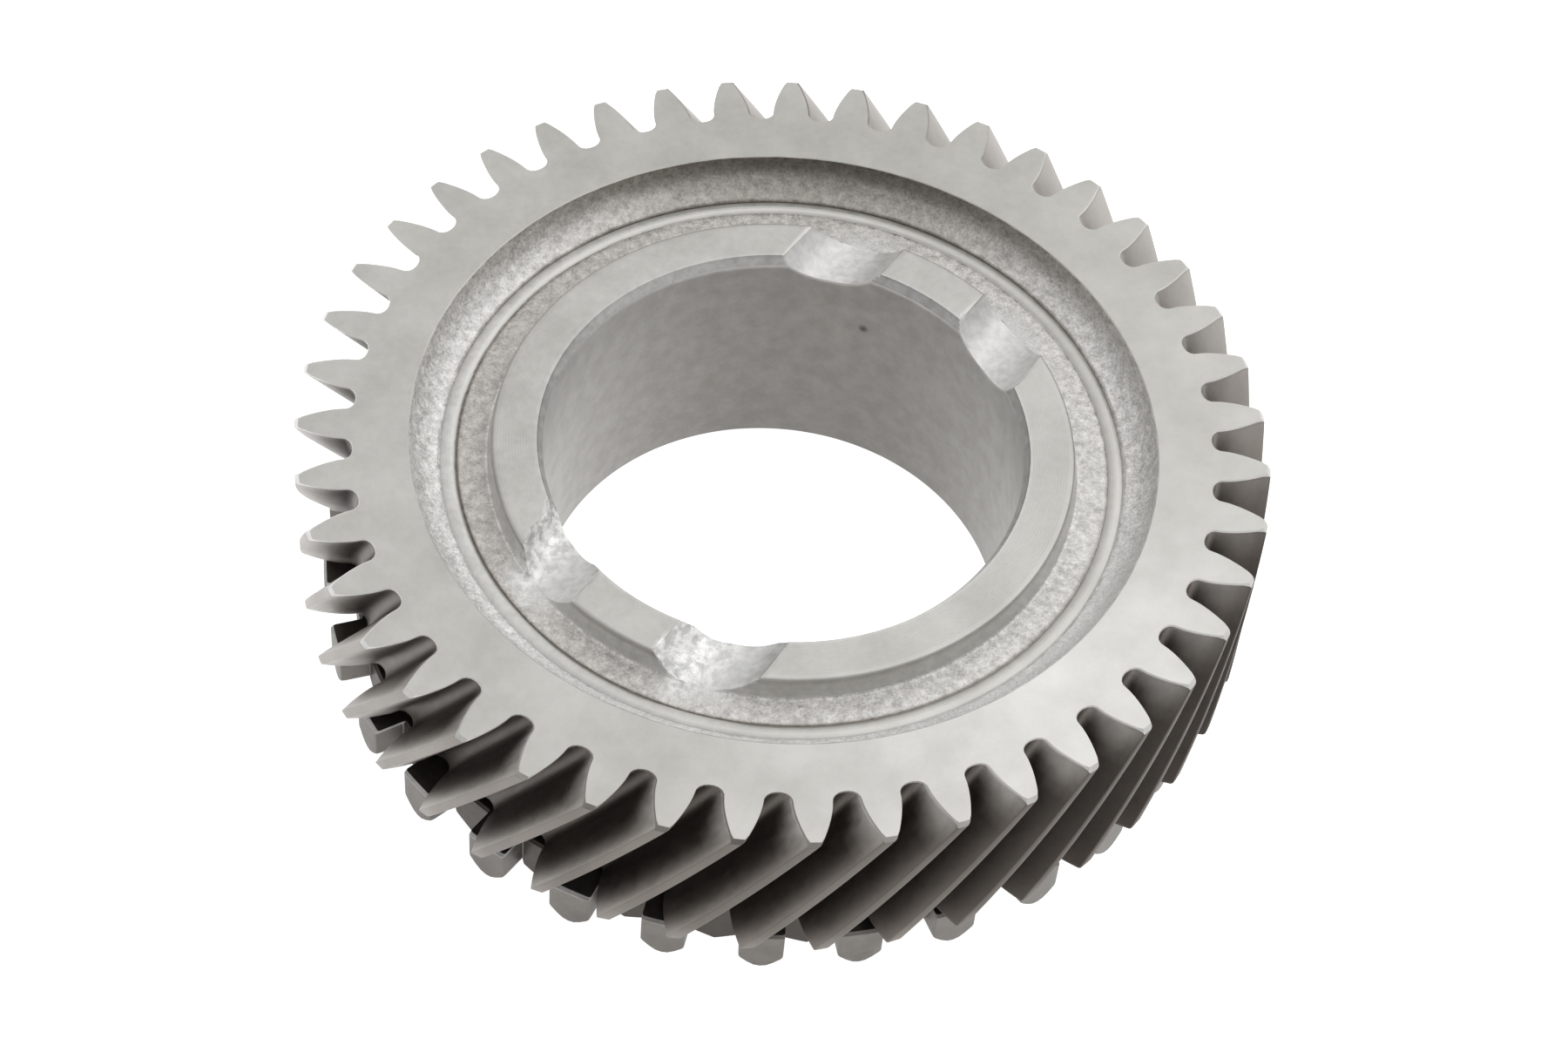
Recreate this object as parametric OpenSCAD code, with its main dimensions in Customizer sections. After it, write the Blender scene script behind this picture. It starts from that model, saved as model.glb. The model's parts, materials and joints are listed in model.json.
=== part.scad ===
// Helical speed gear with a ring of clutch teeth under it.
// One solid. Millimetres, +Z up, bore axis on Z, lower end face on z = 0.
// It lies as it is shown: plain recessed face up, clutch teeth down.

/* [Helical teeth] */
// Number of helical teeth
teeth = 43; // [40:1:46]
// Normal module
normal_module = 2.25; // [2.1:0.05:2.4]
// Helix angle at the pitch circle, right hand
helix_angle = 31; // [28:0.5:34]
// Normal pressure angle
pressure_angle = 14.5; // [14.5:0.5:22]
// Radius over the tooth tips
tip_radius = 60; // [58.5:0.1:61]
// Whole depth of a tooth
tooth_depth = 7.1; // [5.5:0.1:7.4]
// Width of a tooth gap at the pitch circle, measured across the axis
gap_width = 4.25; // [3.8:0.05:4.6]
// Half width of the flat at the foot of a gap, between its rounded corners
root_flat = 0.15; // [0.05:0.05:0.8]
// Width of the toothed rim along the axis
face_width = 24; // [14:0.1:30]
// Edge break on both ends of the tooth tips
tip_break = 0.35; // [0.1:0.05:0.8]
// Height of the bevel on the lower corner of a tooth, at its tip
bevel_rise = 3.1; // [1:0.1:4]
// Turn of the gaps from the x axis on the upper face
gap_turn = -2.82; // [-4.18:0.01:4.18]

/* [Recess in the upper face] */
// Radius of the rim edge of the recess
recess_radius = 46; // [44:0.1:48]
// Depth of the recess floor under the upper face
recess_depth = 4.9; // [3.5:0.1:7]
// Draft of the recess wall, radius lost at the cove
recess_draft = 0.4; // [0:0.05:0.8]
// Radius of the forged cove at the foot of the rim
cove_radius = 3.6; // [2:0.1:4.2]
// Radius at the middle of the raised bead
bead_radius = 41.35; // [40.8:0.05:41.8]
// Width of the bead
bead_width = 1.9; // [1:0.1:2.4]
// Height of the bead over the floor
bead_height = 0.5; // [0.2:0.05:1]

/* [Hub and bore] */
// Radius of the bore
bore_radius = 29.75; // [27:0.05:31]
// Radial size of the bore chamfer at the upper end
bore_chamfer = 0.7; // [0.2:0.05:1]
// Axial size of the bore chamfer at the upper end
bore_chamfer_height = 1.2; // [0.3:0.05:1.6]
// Edge break of the bore at the lower end
bore_break = 0.6; // [0.2:0.05:1]
// Outer radius of the hub land
hub_radius = 36; // [34.5:0.1:37]
// Draft of the hub wall, radius gained at its foot
hub_draft = 0.6; // [0.2:0.05:1]
// Depth of the hub land under the upper face
hub_drop = 1.7; // [0.5:0.1:3]

/* [Oil notches across the hub land] */
// Direction of the two parallel passes that cut the notches
notch_angle = 58.9; // [0:0.1:180]
// Distance of each pass from the bore axis
notch_offset = 12; // [10:0.1:14]
// Width of a notch at the hub land
notch_width = 11.7; // [8:0.1:13]
// Depth of a notch under the hub land
notch_depth = 3; // [1.5:0.1:3.1]

/* [Clutch teeth] */
// Number of clutch teeth
clutch_teeth = 30; // [24:1:36]
// Radius over the clutch teeth
clutch_tip_radius = 57.3; // [55:0.1:58.5]
// Radius of the ring between the clutch teeth
clutch_root_radius = 53.5; // [52:0.1:54.5]
// Width of a clutch tooth
clutch_width = 5.4; // [4:0.1:6]
// Width of the relief between the helical and the clutch teeth
relief_width = 1.5; // [1:0.1:3]
// Depth of that relief under the clutch ring
relief_depth = 1.9; // [0.5:0.1:3]
// Length of the straight sides of a clutch tooth
clutch_straight = 4.2; // [2:0.1:6]
// Length of the pointed end of a clutch tooth
clutch_point = 1.8; // [1:0.1:3]
// Width of the blunt nose on the point
clutch_nose = 1.6; // [0.6:0.1:2.4]
// Edge break on the lower ends of the clutch teeth and their ring
clutch_low_break = 0.5; // [0.1:0.05:0.8]
// Edge break on the upper ends of the clutch teeth
clutch_high_break = 0.4; // [0.1:0.05:0.8]
// Turn of the clutch teeth from the x axis
clutch_turn = -86.97; // [-96:0.01:-84]

/* [Cone end] */
// Height of the cone under the points of the clutch teeth
cone_height = 5.7; // [3:0.1:9]
// Radius of the cone at its lower end
cone_radius = 44.6; // [42:0.1:46]
// Half angle of the cone
cone_angle = 6.5; // [5:0.5:8]
// Edge break at the lower end of the cone
cone_break = 0.4; // [0.1:0.05:1]

/* [Hidden] */
$fn = 96;

// Cutters run past the surfaces they open, and joined shapes sink into each other
overrun = 0.6;
sink = 1;

// Tooth form seen across the axis
helix_run = tan(helix_angle);
pitch_radius = teeth * normal_module / (2 * cos(helix_angle));
cross_pressure = atan(tan(pressure_angle) / cos(helix_angle));
base_radius = pitch_radius * cos(cross_pressure);
root_radius = tip_radius - tooth_depth;
rim_twist = face_width * helix_run / pitch_radius * 180 / PI;
gap_half = gap_width / 2 / pitch_radius * 180 / PI;

// Levels along the axis
clutch_height = clutch_straight + clutch_point;
clutch_low = cone_height;
clutch_high = clutch_low + clutch_height;
rim_low = clutch_high + relief_width;
face_level = rim_low + face_width;
floor_level = face_level - recess_depth;
land_level = face_level - hub_drop;
relief_radius = clutch_root_radius - relief_depth;
cone_top_radius = cone_radius + cone_height * tan(cone_angle);
hub_foot = hub_radius + hub_draft;
cove_wall = recess_radius - recess_draft;
cove_centre = cove_wall - cove_radius;

// Notch cutter, a round bar laid along the pass
notch_bar = notch_width * notch_width / (8 * notch_depth) + notch_depth / 2;
notch_axis = land_level - notch_depth + notch_bar;
notch_far = notch_offset + notch_width / 2;
notch_start = sqrt(bore_radius * bore_radius - notch_far * notch_far) - 2 * sink;
notch_end = hub_foot + overrun;

function involute(a) = (tan(a) - a * PI / 180) * 180 / PI;
function flank(r) = gap_half + involute(acos(base_radius / r)) - involute(cross_pressure);
function at(r, a) = [r * cos(a), r * sin(a)];

// One gap: flanks are involutes, the foot is half an ellipse
flank_steps = 4;
foot_steps = 4;
base_clear = 0.02;
least_foot = 0.8;
flank_low = max(base_radius + base_clear, root_radius + least_foot);
foot_rise = flank_low - root_radius;
foot_half = flank(flank_low) * PI / 180 * flank_low;
foot_round = foot_half - root_flat;
over_radius = tip_radius + 2 * overrun;
function flank_radius(i) = flank_low + (over_radius - flank_low) * i / flank_steps;
function side_points(s) = [for (i = [1:flank_steps]) at(flank_radius(i), s * flank(flank_radius(i)))];
function foot_points(s) = [for (i = [0:foot_steps])
    [root_radius + foot_rise * (1 - cos(90 * i / foot_steps)),
     s * (root_flat + foot_round * sin(90 * i / foot_steps))]];
function backward(v) = [for (i = [len(v) - 1:-1:0]) v[i]];
function gap_outline() = concat(backward(side_points(1)), backward(foot_points(1)),
    foot_points(-1), side_points(-1));

// Bevel on a tooth's lower corner: a plane hinged on the line from the left tip corner to the right foot
half_step = 180 / teeth;
least_tip = 0.3;
tip_half = max(least_tip, (half_step - flank(tip_radius)) * PI / 180 * tip_radius);
tooth_foot_half = (half_step - flank(flank_low)) * PI / 180 * flank_low;
hinge_run = [flank_low - tip_radius, tooth_foot_half + tip_half];
hinge_length = norm(hinge_run);
hinge_turn = atan2(-hinge_run[0], hinge_run[1]);
tip_lean = tip_radius * helix_run / pitch_radius;
bevel_low = 2 * tip_half * sin(hinge_turn);
bevel_high = (2 * tip_half + tip_lean * bevel_rise) * sin(hinge_turn);
bevel_slope = bevel_rise / bevel_high;

// Turned body, before any tooth is cut
module turned_body() {
    bead_low = bead_radius - bead_width / 2;
    cove_level = floor_level + cove_radius;
    difference() {
        rotate_extrude($fn = 180)
            polygon([
                [bore_radius + bore_break, 0],
                [cone_radius - cone_break, 0],
                [cone_radius, cone_break],
                [cone_top_radius, clutch_low],
                [clutch_root_radius - clutch_low_break, clutch_low],
                [clutch_root_radius, clutch_low + clutch_low_break],
                [clutch_root_radius, clutch_high],
                [relief_radius, clutch_high],
                [relief_radius, rim_low],
                [tip_radius - tip_break, rim_low],
                [tip_radius, rim_low + tip_break],
                [tip_radius, face_level - tip_break],
                [tip_radius - tip_break, face_level],
                [recess_radius, face_level],
                [cove_wall, cove_level],
                [cove_centre, cove_level],
                [cove_centre, floor_level],
                [hub_foot, floor_level],
                [hub_radius, land_level],
                [bore_radius + bore_chamfer, land_level],
                [bore_radius, land_level - bore_chamfer_height],
                [bore_radius, bore_break]
            ]);
        rotate_extrude($fn = 180)
            translate([cove_centre, cove_level])
                circle(r = cove_radius, $fn = 64);
    }
    intersection() {
        rotate_extrude($fn = 180)
            translate([bead_radius, floor_level - bead_width])
                circle(r = bead_width + bead_height, $fn = 64);
        rotate_extrude($fn = 180)
            translate([bead_low, floor_level - sink])
                square([bead_width, bead_height + 2 * sink]);
    }
}

// All helical gaps, right hand: lower ends are turned back
module helical_gaps() {
    long = face_width + 2 * overrun;
    translate([0, 0, rim_low - overrun])
        rotate([0, 0, gap_turn - rim_twist * (face_width + overrun) / face_width])
            linear_extrude(height = long, twist = -rim_twist * long / face_width, slices = 4, segments = 1)
                for (k = [0:teeth - 1])
                    rotate([0, 0, k * 360 / teeth])
                        polygon(gap_outline());
}

// Wedges that take off the lower corner of each helical tooth
module corner_bevels() {
    high = bevel_high + overrun;
    for (k = [0:teeth - 1])
        rotate([0, 0, gap_turn - rim_twist + (2 * k + 1) * half_step])
            translate([tip_radius, -tip_half, rim_low])
                rotate([0, 0, hinge_turn])
                    translate([0, hinge_length, 0])
                        rotate([90, 0, 0])
                            linear_extrude(height = hinge_length + overrun)
                                polygon([[-overrun / bevel_slope, -overrun],
                                         [high, high * bevel_slope],
                                         [bevel_low + overrun, -overrun]]);
}

// One clutch tooth: parallel sides, pointed lower end
module clutch_tooth() {
    h = clutch_width / 2;
    n = clutch_nose / 2;
    translate([relief_radius - sink, 0, 0])
        rotate([90, 0, 90])
            linear_extrude(height = clutch_tip_radius - relief_radius + 2 * sink)
                polygon([[-h, clutch_high], [-h, clutch_low + clutch_point], [-n, clutch_low],
                         [n, clutch_low], [h, clutch_low + clutch_point], [h, clutch_high]]);
}

// Ring of clutch teeth, turned to its tip radius
module clutch_ring() {
    intersection() {
        union()
            for (k = [0:clutch_teeth - 1])
                rotate([0, 0, clutch_turn + k * 360 / clutch_teeth])
                    clutch_tooth();
        rotate_extrude($fn = 180)
            polygon([
                [relief_radius - overrun, clutch_low],
                [clutch_tip_radius - clutch_low_break, clutch_low],
                [clutch_tip_radius, clutch_low + clutch_low_break],
                [clutch_tip_radius, clutch_high - clutch_high_break],
                [clutch_tip_radius - clutch_high_break, clutch_high],
                [relief_radius - overrun, clutch_high]
            ]);
    }
}

// Four notches: each of two parallel passes crosses the hub land twice
module oil_notches() {
    for (side = [-1, 1], end = [0, 180])
        rotate([0, 0, notch_angle + end])
            translate([notch_start, side * notch_offset, notch_axis])
                rotate([0, 90, 0])
                    cylinder(r = notch_bar, h = notch_end - notch_start, $fn = 96);
}

module gear() {
    color([0.72, 0.71, 0.69])
        difference() {
            union() {
                turned_body();
                clutch_ring();
            }
            helical_gaps();
            corner_bevels();
            oil_notches();
        }
}

gear();
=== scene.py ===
"""Helical speed gear with clutch teeth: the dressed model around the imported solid."""

import json
import logging
import math
from dataclasses import dataclass, field
from enum import Enum, IntEnum
from itertools import product

import bpy
import numpy as np
from mathutils import Matrix, Vector

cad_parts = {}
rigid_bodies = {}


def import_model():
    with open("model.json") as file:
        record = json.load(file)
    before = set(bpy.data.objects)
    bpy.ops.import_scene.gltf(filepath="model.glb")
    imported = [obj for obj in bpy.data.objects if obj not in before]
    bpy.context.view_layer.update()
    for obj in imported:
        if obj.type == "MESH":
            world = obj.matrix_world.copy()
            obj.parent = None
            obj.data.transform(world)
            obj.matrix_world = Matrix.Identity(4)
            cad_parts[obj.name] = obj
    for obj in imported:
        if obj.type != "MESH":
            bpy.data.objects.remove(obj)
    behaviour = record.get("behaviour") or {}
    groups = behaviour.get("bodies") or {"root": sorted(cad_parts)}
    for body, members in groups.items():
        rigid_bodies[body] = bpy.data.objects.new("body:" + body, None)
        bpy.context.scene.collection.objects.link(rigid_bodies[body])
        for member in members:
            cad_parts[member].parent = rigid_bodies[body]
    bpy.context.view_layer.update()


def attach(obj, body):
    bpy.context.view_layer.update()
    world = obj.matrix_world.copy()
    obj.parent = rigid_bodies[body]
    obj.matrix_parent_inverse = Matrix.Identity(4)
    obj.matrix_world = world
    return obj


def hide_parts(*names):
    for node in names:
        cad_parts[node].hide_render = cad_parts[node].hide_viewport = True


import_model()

Array = np.ndarray
Colour = tuple[float, float, float]
Socket = bpy.types.NodeSocket

MM = 0.001
TURN = 2 * math.pi
LOG = logging.getLogger("speed_gear")
RIPPLE_SEED = 11
FORGING_SEED = 23


class Zone(IntEnum):
    """The surfaces of the gear, in the order of the material slots."""

    FACE = 0
    FLANK = 1
    FORGED = 2
    LAND = 3
    BORE = 4
    CLUTCH = 5
    CONE = 6


class Cut(Enum):
    """How the surface of an oil notch came out."""

    MILLED = 0.0
    TORN = 1.0


def polar(radius: Array, angle: Array, level: Array) -> Array:
    """Points from distances, angles and heights: x = r cos a, y = r sin a, z = level, on the last axis."""
    radius, angle, level = np.broadcast_arrays(radius, angle, level)
    return np.stack([radius * np.cos(angle), radius * np.sin(angle), level], axis=-1)


def held(value: Array) -> Array:
    """A value held between 0 and 1."""
    return np.clip(value, 0, 1)


def smooth_least(a: Array, b: Array, blend: float) -> Array:
    """The lesser of two heights, lowered by blend (1 - gap / blend)^2 / 4 where they are less than blend apart."""
    near = np.clip(1 - np.abs(a - b) / blend, 0, None)
    return np.minimum(a, b) - blend * near**2 / 4


def smooth_step(share: Array) -> Array:
    """A share held between 0 and 1 and eased as 3t^2 - 2t^3."""
    t = held(share)
    return t * t * (3 - 2 * t)


def side_share(angle: Array, toward: float) -> Array:
    """How far each column is turned away from a side: (1 - cos(a - toward)) / 2, from 0 to 1."""
    return (1 - np.cos(angle - math.radians(toward))) / 2


def painted_face_light(angle: Array) -> Array:
    """Painted light and shade on the machined face: 0.7 (1 - (1 - share)^12) away from its painted bright side, a
    little more painted shade at the back.
    """
    return 0.7 * (1 - (1 - side_share(angle, -48)) ** 12) + 0.25 * held(np.sin(angle)) ** 2


class GrainField:
    """Lattice noise in space: random heights at the corners of cubes, eased between the corners."""

    def __init__(self, seed: int, size: int = 48) -> None:
        """Draws the heights of one lattice from a seed."""
        self.heights = np.random.default_rng(seed).uniform(-1, 1, (size, size, size))
        self.size = size

    def at(self, points: Array, grain: float) -> Array:
        """Noise at points: the eight corner heights weighted by 3t^2 - 2t^3 along each axis.

        Args:
            points: places in millimetres, coordinates on the last axis.
            grain: edge of one lattice cube in millimetres.

        Returns:
            Heights from -1 to 1.
        """
        place = points / grain
        corner = np.floor(place).astype(int)
        part = smooth_step(place - corner)
        total = np.zeros(points.shape[:-1])
        for step in product((0, 1), repeat=3):
            weight = np.prod(np.where(np.array(step) == 1, part, 1 - part), axis=-1)
            i, j, k = np.moveaxis((corner + np.array(step)) % self.size, -1, 0)
            total += weight * self.heights[i, j, k]
        return total


@dataclass
class Ring:
    """One closed row of vertices in the skin."""

    start: int
    angles: Array

    @property
    def count(self) -> int:
        """Number of vertices in the row."""
        return len(self.angles)


@dataclass
class Skin:
    """One closed surface, gathered from rows that run round the bore axis."""

    points: list[Array] = field(default_factory=list)
    shades: list[Array] = field(default_factory=list)
    cuts: list[Array] = field(default_factory=list)
    tears: list[Array] = field(default_factory=list)
    faces: list[Array] = field(default_factory=list)
    zones: list[Array] = field(default_factory=list)
    used: int = 0

    def grid(self, points: Array, zone: Array | Zone, shade: Array | float = 0.0,
             cut: Array | float = 0.0, tear: Array | float = 0.0) -> tuple[Ring, Ring]:
        """Adds rows of points and the four-cornered faces between them.

        Args:
            points: places, rows by columns by three.
            zone: the surface of each face, or of all of them.
            shade: how dark each vertex is painted, a painted shade.
            cut: how far each vertex is cut away by milling; on flanks, clutch teeth, hub wall and bead also painted
                light.
            tear: how torn each vertex is.

        Returns:
            The first and the last row.
        """
        rows, columns = points.shape[:2]
        first = self.used
        index = first + np.arange(rows * columns).reshape(rows, columns)
        here, after = index[:-1], index[1:]
        quads = np.stack([here, after, np.roll(after, -1, 1), np.roll(here, -1, 1)], axis=-1)
        self.points.append(points.reshape(-1, 3))
        for values, kept in ((shade, self.shades), (cut, self.cuts), (tear, self.tears)):
            kept.append(np.broadcast_to(values, (rows, columns)).ravel())
        self.faces.append(quads.reshape(-1, 4))
        self.zones.append(np.broadcast_to(zone, (rows - 1, columns)).ravel().astype(int))
        self.used += rows * columns
        angles = np.arctan2(points[..., 1], points[..., 0]) % TURN
        last = first + (rows - 1) * columns
        return Ring(first, angles[0]), Ring(last, angles[-1])

    def stitch(self, a: Ring, b: Ring, zone: Zone) -> None:
        """Joins two rows of any counts: each edge of one row is closed with the vertex of the other row
        that comes last before the end of that edge, going round by angle.

        Args:
            a: the row that comes first along the section.
            b: the row that comes next.
            zone: the surface of the faces between them.
        """
        turn_a, turn_b = int(np.argmin(a.angles)), int(np.argmin(b.angles))
        angle_a, angle_b = np.roll(a.angles, -turn_a), np.roll(b.angles, -turn_b)
        index_a = a.start + np.roll(np.arange(a.count), -turn_a)
        index_b = b.start + np.roll(np.arange(b.count), -turn_b)
        met_b = index_b[np.searchsorted(angle_b, angle_a, "left") - 1]
        met_a = index_a[np.searchsorted(angle_a, angle_b, "right") - 1]
        over_a = np.stack([np.roll(index_a, 1), met_b, index_a], axis=-1)
        over_b = np.stack([met_a, np.roll(index_b, 1), index_b], axis=-1)
        self.faces.append(np.concatenate([over_a, over_b]))
        self.zones.append(np.full(a.count + b.count, int(zone)))

    def join(self, a: Ring, b: Ring, zone: Zone) -> None:
        """Joins two rows of the same count, column by column."""
        here, after = a.start + np.arange(a.count), b.start + np.arange(b.count)
        self.faces.append(np.stack([here, after, np.roll(after, -1), np.roll(here, -1)], axis=-1))
        self.zones.append(np.full(a.count, int(zone)))

    def mesh(self, name: str, sharp_angle: float) -> bpy.types.Mesh:
        """Writes the gathered rows into one mesh in metres.

        Args:
            name: the mesh's name.
            sharp_angle: faces that meet at more than this angle keep a crisp edge, in degrees.

        Returns:
            The mesh, with its slots' numbers and the vertex values shade (painted shade), cut (milling and painted
            light) and tear.
        """
        made = bpy.data.meshes.new(name)
        corners = np.concatenate([f.ravel() for f in self.faces])
        sizes = np.concatenate([np.full(len(f), f.shape[1]) for f in self.faces])
        places = np.concatenate(self.points) * MM
        made.vertices.add(len(places))
        made.vertices.foreach_set("co", places.astype(np.float32).ravel())
        made.loops.add(len(corners))
        made.loops.foreach_set("vertex_index", corners.astype(np.int32))
        made.polygons.add(len(sizes))
        starts = np.concatenate([[0], np.cumsum(sizes)[:-1]])
        made.polygons.foreach_set("loop_start", starts.astype(np.int32))
        made.polygons.foreach_set("material_index", np.concatenate(self.zones).astype(np.int32))
        for title, values in (("shade", self.shades), ("cut", self.cuts), ("tear", self.tears)):
            layer = made.attributes.new(title, "FLOAT", "POINT")
            layer.data.foreach_set("value", np.concatenate(values).astype(np.float32))
        made.update(calc_edges=True)
        made.validate()
        made.shade_smooth()
        made.set_sharp_from_angle(angle=math.radians(sharp_angle))
        return made


@dataclass
class Levels:
    """Heights over the lower end face, in millimetres."""

    face: float = 37.2
    rim_low: float = 13.9
    clutch_high: float = 12.65
    clutch_point: float = 6.05
    clutch_low: float = 5.7


@dataclass
class ToothedRim:
    """The helical teeth, right hand, with rounded feet, broken upper edges and rounded lower ends."""

    levels: Levels
    teeth: int = 43
    normal_module: float = 2.25
    helix_angle: float = 33.0
    pressure_angle: float = 17.4
    tip_radius: float = 60.0
    tooth_depth: float = 7.1
    gap_width: float = 5.20
    root_flat: float = 0.15
    gap_turn: float = -2.82
    edge_break: float = 0.12
    tip_break: float = 0.50
    tip_round: float = 0.22
    end_round: float = 0.45
    end_draw: float = 0.55
    draw_ease: float = 0.6
    end_rise: float = 0.4
    rise_reach: float = 2.0
    inner_radius: float = 51.7
    wall_rows: int = 14
    wall_ease: float = 1.7
    cap_rows: int = 3
    cap_ease: float = 0.8
    on_tip: float = 0.02

    def __post_init__(self) -> None:
        """Works out the tooth form seen across the axis."""
        helix = math.radians(self.helix_angle)
        pressure = math.radians(self.pressure_angle)
        self.pitch_radius = self.teeth * self.normal_module / (2 * math.cos(helix))
        self.cross_pressure = math.atan(math.tan(pressure) / math.cos(helix))
        self.base_radius = self.pitch_radius * math.cos(self.cross_pressure)
        self.root_radius = self.tip_radius - self.tooth_depth
        self.twist_per_mm = math.tan(helix) / self.pitch_radius
        self.step = TURN / self.teeth
        self.angle, self.radius = self.outline()

    def gap_half(self, radius: Array) -> Array:
        """Half the angle of a gap: its value on the pitch circle plus the change of the involute function tan a - a."""
        slope = np.arccos(np.minimum(self.base_radius / radius, 1))
        involute = np.tan(slope) - slope
        at_pitch = math.tan(self.cross_pressure) - self.cross_pressure
        return self.gap_width / 2 / self.pitch_radius + involute - at_pitch

    def outline(self) -> tuple[Array, Array]:
        """The rim seen from above, from the middle of one gap round to the next.

        Half a tooth is a quarter ellipse at the foot, the involute flank and a rounded tip corner;
        the other half is its mirror image, and the whole is set round the axis once for each tooth.

        Returns:
            Angles and radii of all columns.
        """
        low = self.base_radius + 0.02
        foot_half = float(self.gap_half(np.array(low))) * low
        t = np.radians([5, 28, 51, 74])
        x = self.root_radius + (low - self.root_radius) * (1 - np.cos(t))
        y = self.root_flat + (foot_half - self.root_flat) * np.sin(t)
        flank = np.linspace(low, self.tip_radius - self.tip_round, 8)
        tip = self.tip_radius - self.tip_round * np.array([0.3, 0.0])
        tip_angle = self.gap_half(tip) + np.array([0.15, 0.8]) * self.tip_round / self.tip_radius
        radius = np.concatenate([np.hypot(x, y), flank, tip])
        angle = np.concatenate([np.arctan2(y, x), self.gap_half(flank), tip_angle])
        one_angle = np.concatenate([[0], angle, [self.step / 2], self.step - angle[::-1]])
        one_radius = np.concatenate([[self.root_radius], radius, [self.tip_radius], radius[::-1]])
        starts = math.radians(self.gap_turn) + np.arange(self.teeth)[:, None] * self.step
        return (starts + one_angle).ravel(), np.tile(one_radius, self.teeth)

    def drawn_in(self, amount: float) -> tuple[Array, Array]:
        """The outline moved into the steel by an amount along its own normal, the tangent turned by a quarter."""
        place = self.radius * np.exp(1j * self.angle)
        along = np.roll(place, -1) - np.roll(place, 1)
        moved = place + 1j * along / np.abs(along) * amount
        return self.angle + np.angle(moved / np.exp(1j * self.angle)), np.abs(moved)

    def depth(self, radius: Array) -> Array:
        """How far down the tooth a radius lies: 0 on the tip, 1 at the foot of the gap."""
        return held((self.tip_radius - radius) / self.tooth_depth)

    def turned(self, angle: Array, level: Array) -> Array:
        """Angles carried along the helix: each millimetre down turns back by tan(helix) / pitch radius."""
        return angle - (self.levels.face - level) * self.twist_per_mm

    def rounded(self, share: float) -> tuple[Array, Array]:
        """The outline drawn in for one row of the rounded lower ends.

        With s the distance from the middle of the tooth, s' = s - share * draw * s / (|s| + ease), fading out towards
        the middle of the gap, where the foot is drawn in instead; the tip is held under its radius less the rounding.

        Args:
            share: how far round the edge the row lies, 0 on the flank and 1 on the flat end.

        Returns:
            Angles and radii of all columns, the angles still rising.
        """
        turn = (self.angle - math.radians(self.gap_turn)) % self.step - self.step / 2
        across = turn * self.radius
        on_tooth = held(self.step / 2 * self.radius - np.abs(across))
        moved = across - share * on_tooth * self.end_draw * across / (np.abs(across) + self.draw_ease)
        foot = self.radius - share * self.end_round * (1 - on_tooth)
        radius = np.minimum(foot, self.tip_radius - share * self.end_round)
        return self.angle + (moved - across) / self.radius, radius

    def end_level(self, radius: Array, angle: Array) -> Array:
        """Level of the flat lower end, which rises a little over the tip towards the right tip corner."""
        turn = (angle - math.radians(self.gap_turn)) % self.step - self.step / 2
        tip_half = self.step / 2 - float(self.gap_half(np.array(self.tip_radius)))
        near_tip = held(1 - (self.tip_radius - radius) / self.rise_reach)
        return self.levels.rim_low + self.end_rise * near_tip * held(turn / tip_half / 2 + 0.5)

    def under_face(self, deep: Array, level: Array) -> Array:
        """How close under the upper face a flank lies: (1 - drop / reach)^1.2, none on the tip and in the foot.

        The reach falls from 4.2 to 2.2 mm down the flank.
        """
        reach = 4.2 - 2.0 * smooth_step((deep - 0.4) / 0.5)
        on_flank = np.where(deep < self.on_tip, 0, 1 - smooth_step((deep - 0.88) / 0.1))
        return on_flank * held(1 - (self.levels.face - level) / reach) ** 1.2

    def painted_flank_shade(self, deep: Array, angle: Array, level: Array) -> Array:
        """Painted shade and painted light on the flanks and the tips: painted darkest low in the gaps of the front,
        lighter at the back.

        The painted shade of a flank's tip is 0.48 + 0.62 cos a; from there it grows to the root as deep^1.1 on the far
        left and as a smooth step elsewhere, with a painted highlight line along the foot, and it is painted lighter
        close under the upper face, less so on the right. The tips follow the cosine on their own and are painted
        lighter at the lower end. The front share falls off with (0.516 - sin a) / 0.686.

        Args:
            deep: how far down the tooth each column lies.
            angle: angles about the axis, rows by columns.
            level: heights, rows by columns.

        Returns:
            Shades from 0 to 1, rows by columns.
        """
        cosine = np.cos(angle)
        front = held((0.516 - np.sin(angle)) / 0.686)
        firm = smooth_step((cosine + 0.82) / 0.17)
        tip = np.clip(0.48 + 0.62 * cosine, 0.05, 0.9)
        foot_line = 0.24 - 0.18 * firm + 0.12 * held(cosine + 0.2)
        root = 0.93 - 0.06 * firm - foot_line * held((deep - 0.9) / 0.1)
        gap = tip + (root - tip) * ((1 - firm) * deep**1.1 + firm * smooth_step(deep / 0.43))
        fade = 1 - 1.6 * np.clip(cosine - 0.6, 0, 0.4)
        gap = gap * (1 - fade * (0.55 + 0.45 * smooth_step(deep / 0.3)) * self.under_face(deep, level))
        crest = 0.70 + 0.18 * cosine - 0.5 * held(-cosine - 0.35)
        near_end = held(1 - (level - self.levels.rim_low) / 4.0)
        crest = crest * (1 - (0.35 - 0.3 * held(cosine)) * near_end)
        return front * np.where(deep < self.on_tip, crest, gap) + (1 - front) * (0.1 + 0.25 * deep)

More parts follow.
